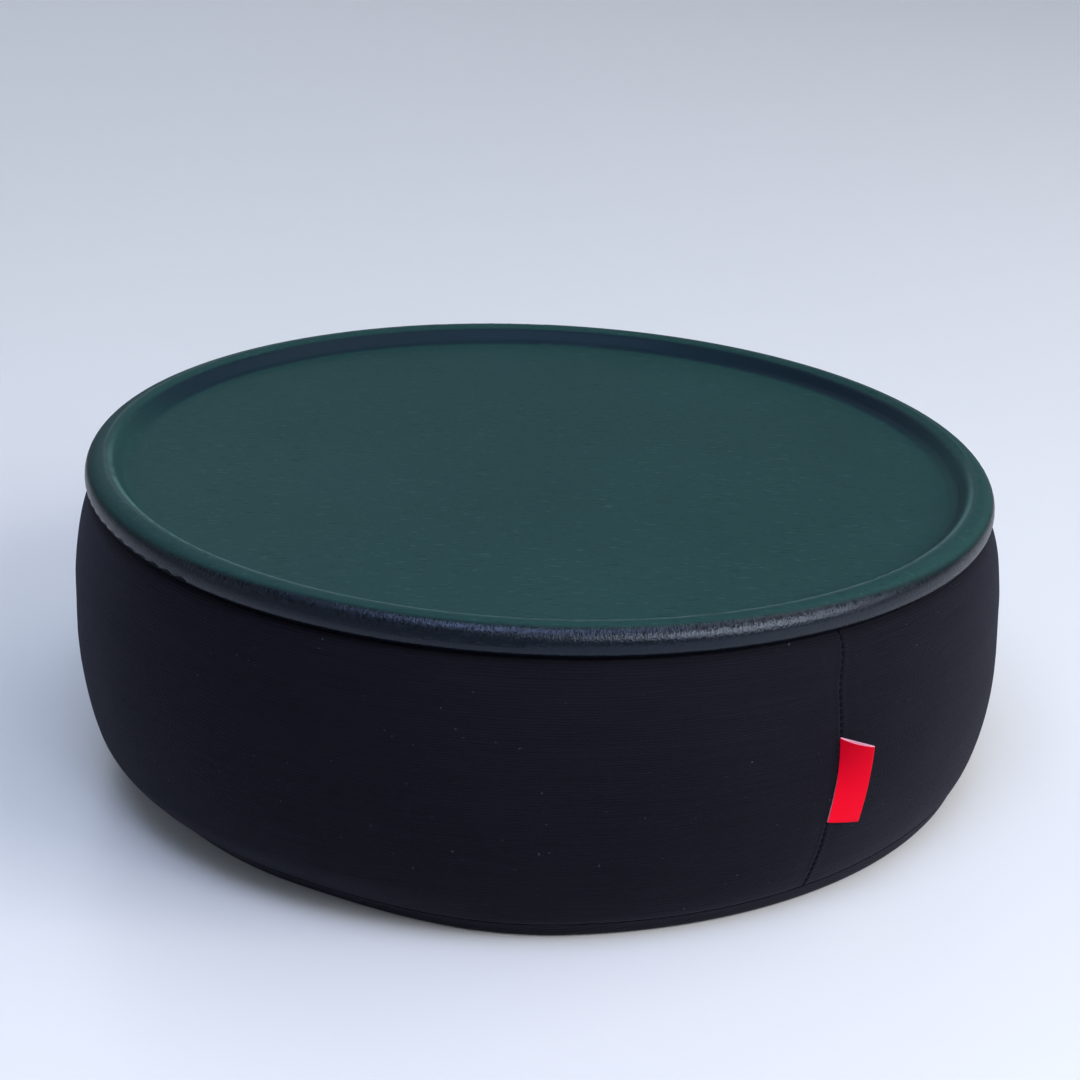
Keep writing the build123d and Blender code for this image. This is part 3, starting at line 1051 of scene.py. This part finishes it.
def tag_section(bulge):
    """Middle line of the folded ribbon, from its one end to its other."""
    half_leaf = tag_leaf / 2
    reach = tag_length - tag_leaf
    inner = [(x, half_leaf) for x in np.linspace(-tag_root, reach, inner_columns)]
    turns = np.radians(np.linspace(-fold_turn, fold_turn, fold_columns))
    fold = [(reach + half_leaf * math.cos(t), tag_leaf + half_leaf * math.sin(t)) for t in turns]
    outer = []
    for x in np.linspace(reach, -tag_root, outer_columns):
        share = np.clip(x / reach, 0, 1)
        outer.append((x, 1.5 * tag_leaf + bulge * 4 * share * (1 - share)))
    return inner + fold + outer


def tag_points(rows):
    """Grid of the ribbon, its rows from the tag's lower edge to its upper one."""
    fold_low, fold_high = tag_end(0)[1], tag_end(1)[1]
    along = (fold_low - fold_high).normalized()
    points = []
    for share in np.linspace(0, 1, rows):
        root, free_fold = tag_end(share)
        fold = fold_low.lerp(fold_high, share).lerp(free_fold, fold_freedom)
        reach = (fold - root).length / tag_length
        inwards = (fold - root).normalized()
        outwards = along.cross(inwards).normalized()
        section = tag_section(tag_bulge * (0.2 + 0.6 * share))
        points.append([tuple(root + inwards * (x * reach) + outwards * y) for x, y in section])
    return np.array(points)


def ribbon(name, face, rib):
    """Woven ribbon with fine ribs across it."""
    material, place = start_finish(name, Specular_IOR_Level=0.08)
    x, y, z = parts_of(place)
    weft = z / weft_pitch + noise(place, 900.0) * 0.25
    weft = abs(weft.math("FRACT", weft) - 0.5) * 2
    warp = (x + y * 0.4) / warp_pitch
    warp = abs(warp.math("FRACT", warp) - 0.5) * 2
    feed(material, "Base Color", (weft * 0.6 + warp * 0.4).mix(rib, face))
    feed(material, "Roughness", 0.62 + weft * 0.12)
    raise_surface(material, weft * weft_depth + warp * warp_depth)
    return material


tag_grid_points, tag_grid_faces = open_grid(tag_points(tag_rows))
tag = mesh_object("ribbon_tag", tag_grid_points, tag_grid_faces.tolist())
tag.data.materials.append(ribbon("tag_inside", shade(248, 186, 202), shade(232, 160, 180)))
tag.data.materials.append(ribbon("tag_outside", shade(250, 2, 46), shade(224, 1, 36)))
thicken = tag.modifiers.new("thickness", "SOLIDIFY")
thicken.thickness = tag_leaf
thicken.offset = 0.0
thicken.material_offset = 1
apply_modifiers(tag)
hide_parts("side_tag")
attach(tag, "root")

# %% [markdown]
# ## Stitches
# Dark thread holds the side seam and the bottom seam. Stitches could be a bump in the knit's
# finish, but seen along the seam they would be flat. So each is a short bar across the seam,
# a little sunk between the two edges that it joins.

# %% Bars of thread
thread_radius = 0.13 * mm
thread_sides = 6
thread_rings = ((0.0, 0.4), (0.15, 1.0), (0.85, 1.0), (1.0, 0.4))  # shares of length and radius


def bars(starts, ends):
    """Points and faces of short round bars from starts to ends, with narrow tips."""
    points, faces = [], []
    for start, end in zip(starts, ends):
        start, end = Vector(start), Vector(end)
        way = (end - start).normalized()
        side = way.orthogonal().normalized()
        across = way.cross(side)
        first = len(points)
        for share, size in thread_rings:
            centre = start.lerp(end, share)
            for corner in range(thread_sides):
                turn = 2 * math.pi * corner / thread_sides
                reach = side * math.cos(turn) + across * math.sin(turn)
                points.append(centre + reach * (thread_radius * size))
        last = first + (len(thread_rings) - 1) * thread_sides
        tube = grid_faces(len(thread_rings), thread_sides)
        faces += [[first + i for i in face] for face in tube]
        faces.append([first + i for i in reversed(range(thread_sides))])
        faces.append([last + i for i in range(thread_sides)])
    return points, faces


def stitches(name, starts, ends):
    """One object of many bars in dark thread."""
    made = mesh_object(name, *bars(starts, ends))
    made.data.materials.append(dark_thread)
    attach(made, "root")


dark_thread, thread_place = start_finish("dark_thread", Specular_IOR_Level=0.25)
thread_tone = noise(thread_place, 3000.0).mix(shade(9, 9, 13), shade(24, 24, 32))
feed(dark_thread, "Base Color", thread_tone)
feed(dark_thread, "Roughness", 0.55 + noise(thread_place, 5000.0) * 0.2)
print(f"thread {2 * thread_radius / mm:.2f} mm thick")

# %% Stitches along both seams
side_sink, foot_sink = 0.30 * mm, 0.5 * mm
side_slant = 0.25 * mm
foot_below, foot_above = 0.75 * mm, 0.85 * mm
foot_slant = 0.0015  # radians

side_levels = np.arange(bottom_seam_height + 2 * mm, cushion_height - 2 * mm, stitch_pitch)
side_half = 0.42 * mm / band_top_radius
side_turns = seam_at(side_levels)
side_out = net_at(side_turns, side_levels) - side_sink
stitches(
    "side_seam_thread",
    on_cover(side_turns - side_half, side_levels - side_slant, side_out),
    on_cover(side_turns + side_half, side_levels + side_slant, side_out),
)
foot_count = round(2 * math.pi * base_radius / stitch_pitch)
foot_turns = np.arange(foot_count) * 2 * math.pi / foot_count
foot_low = np.full(foot_count, bottom_seam_height - foot_below)
foot_high = np.full(foot_count, bottom_seam_height + foot_above)
stitches(
    "bottom_seam_thread",
    on_cover(foot_turns, foot_low, net_at(foot_turns, foot_low) - foot_sink),
    on_cover(foot_turns + foot_slant, foot_high, net_at(foot_turns, foot_high) - foot_sink),
)
print(len(side_levels), "stitches in the side seam,", foot_count, "in the bottom seam")

# %% [markdown]
# ## Inner bag
# The inner bag is plain white non-woven cloth. The filled form made above is the bag, so it
# only needs its finish. The beads could be many thousand balls, but nobody sees them in the
# closed bag, so the bag stands for the beads in it as well.

# %% Inner bag
bag_white, bag_place = start_finish("bag_cloth", Roughness=0.9)
bag_tone = noise(bag_place, 1500.0).mix(shade(222, 222, 216), shade(240, 240, 236))
feed(bag_white, "Base Color", bag_tone)
bag.data.materials.clear()
bag.data.materials.append(bag_white)
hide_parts("bead_bag", "bead_fill")
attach(bag, "root")
print("inner bag of", len(bag.data.polygons), "faces")

# %% [markdown]
# ## The last line
# Blender may make cloth stand a little proud of the CAD model, but never by much.

# %% The last line
print("done")
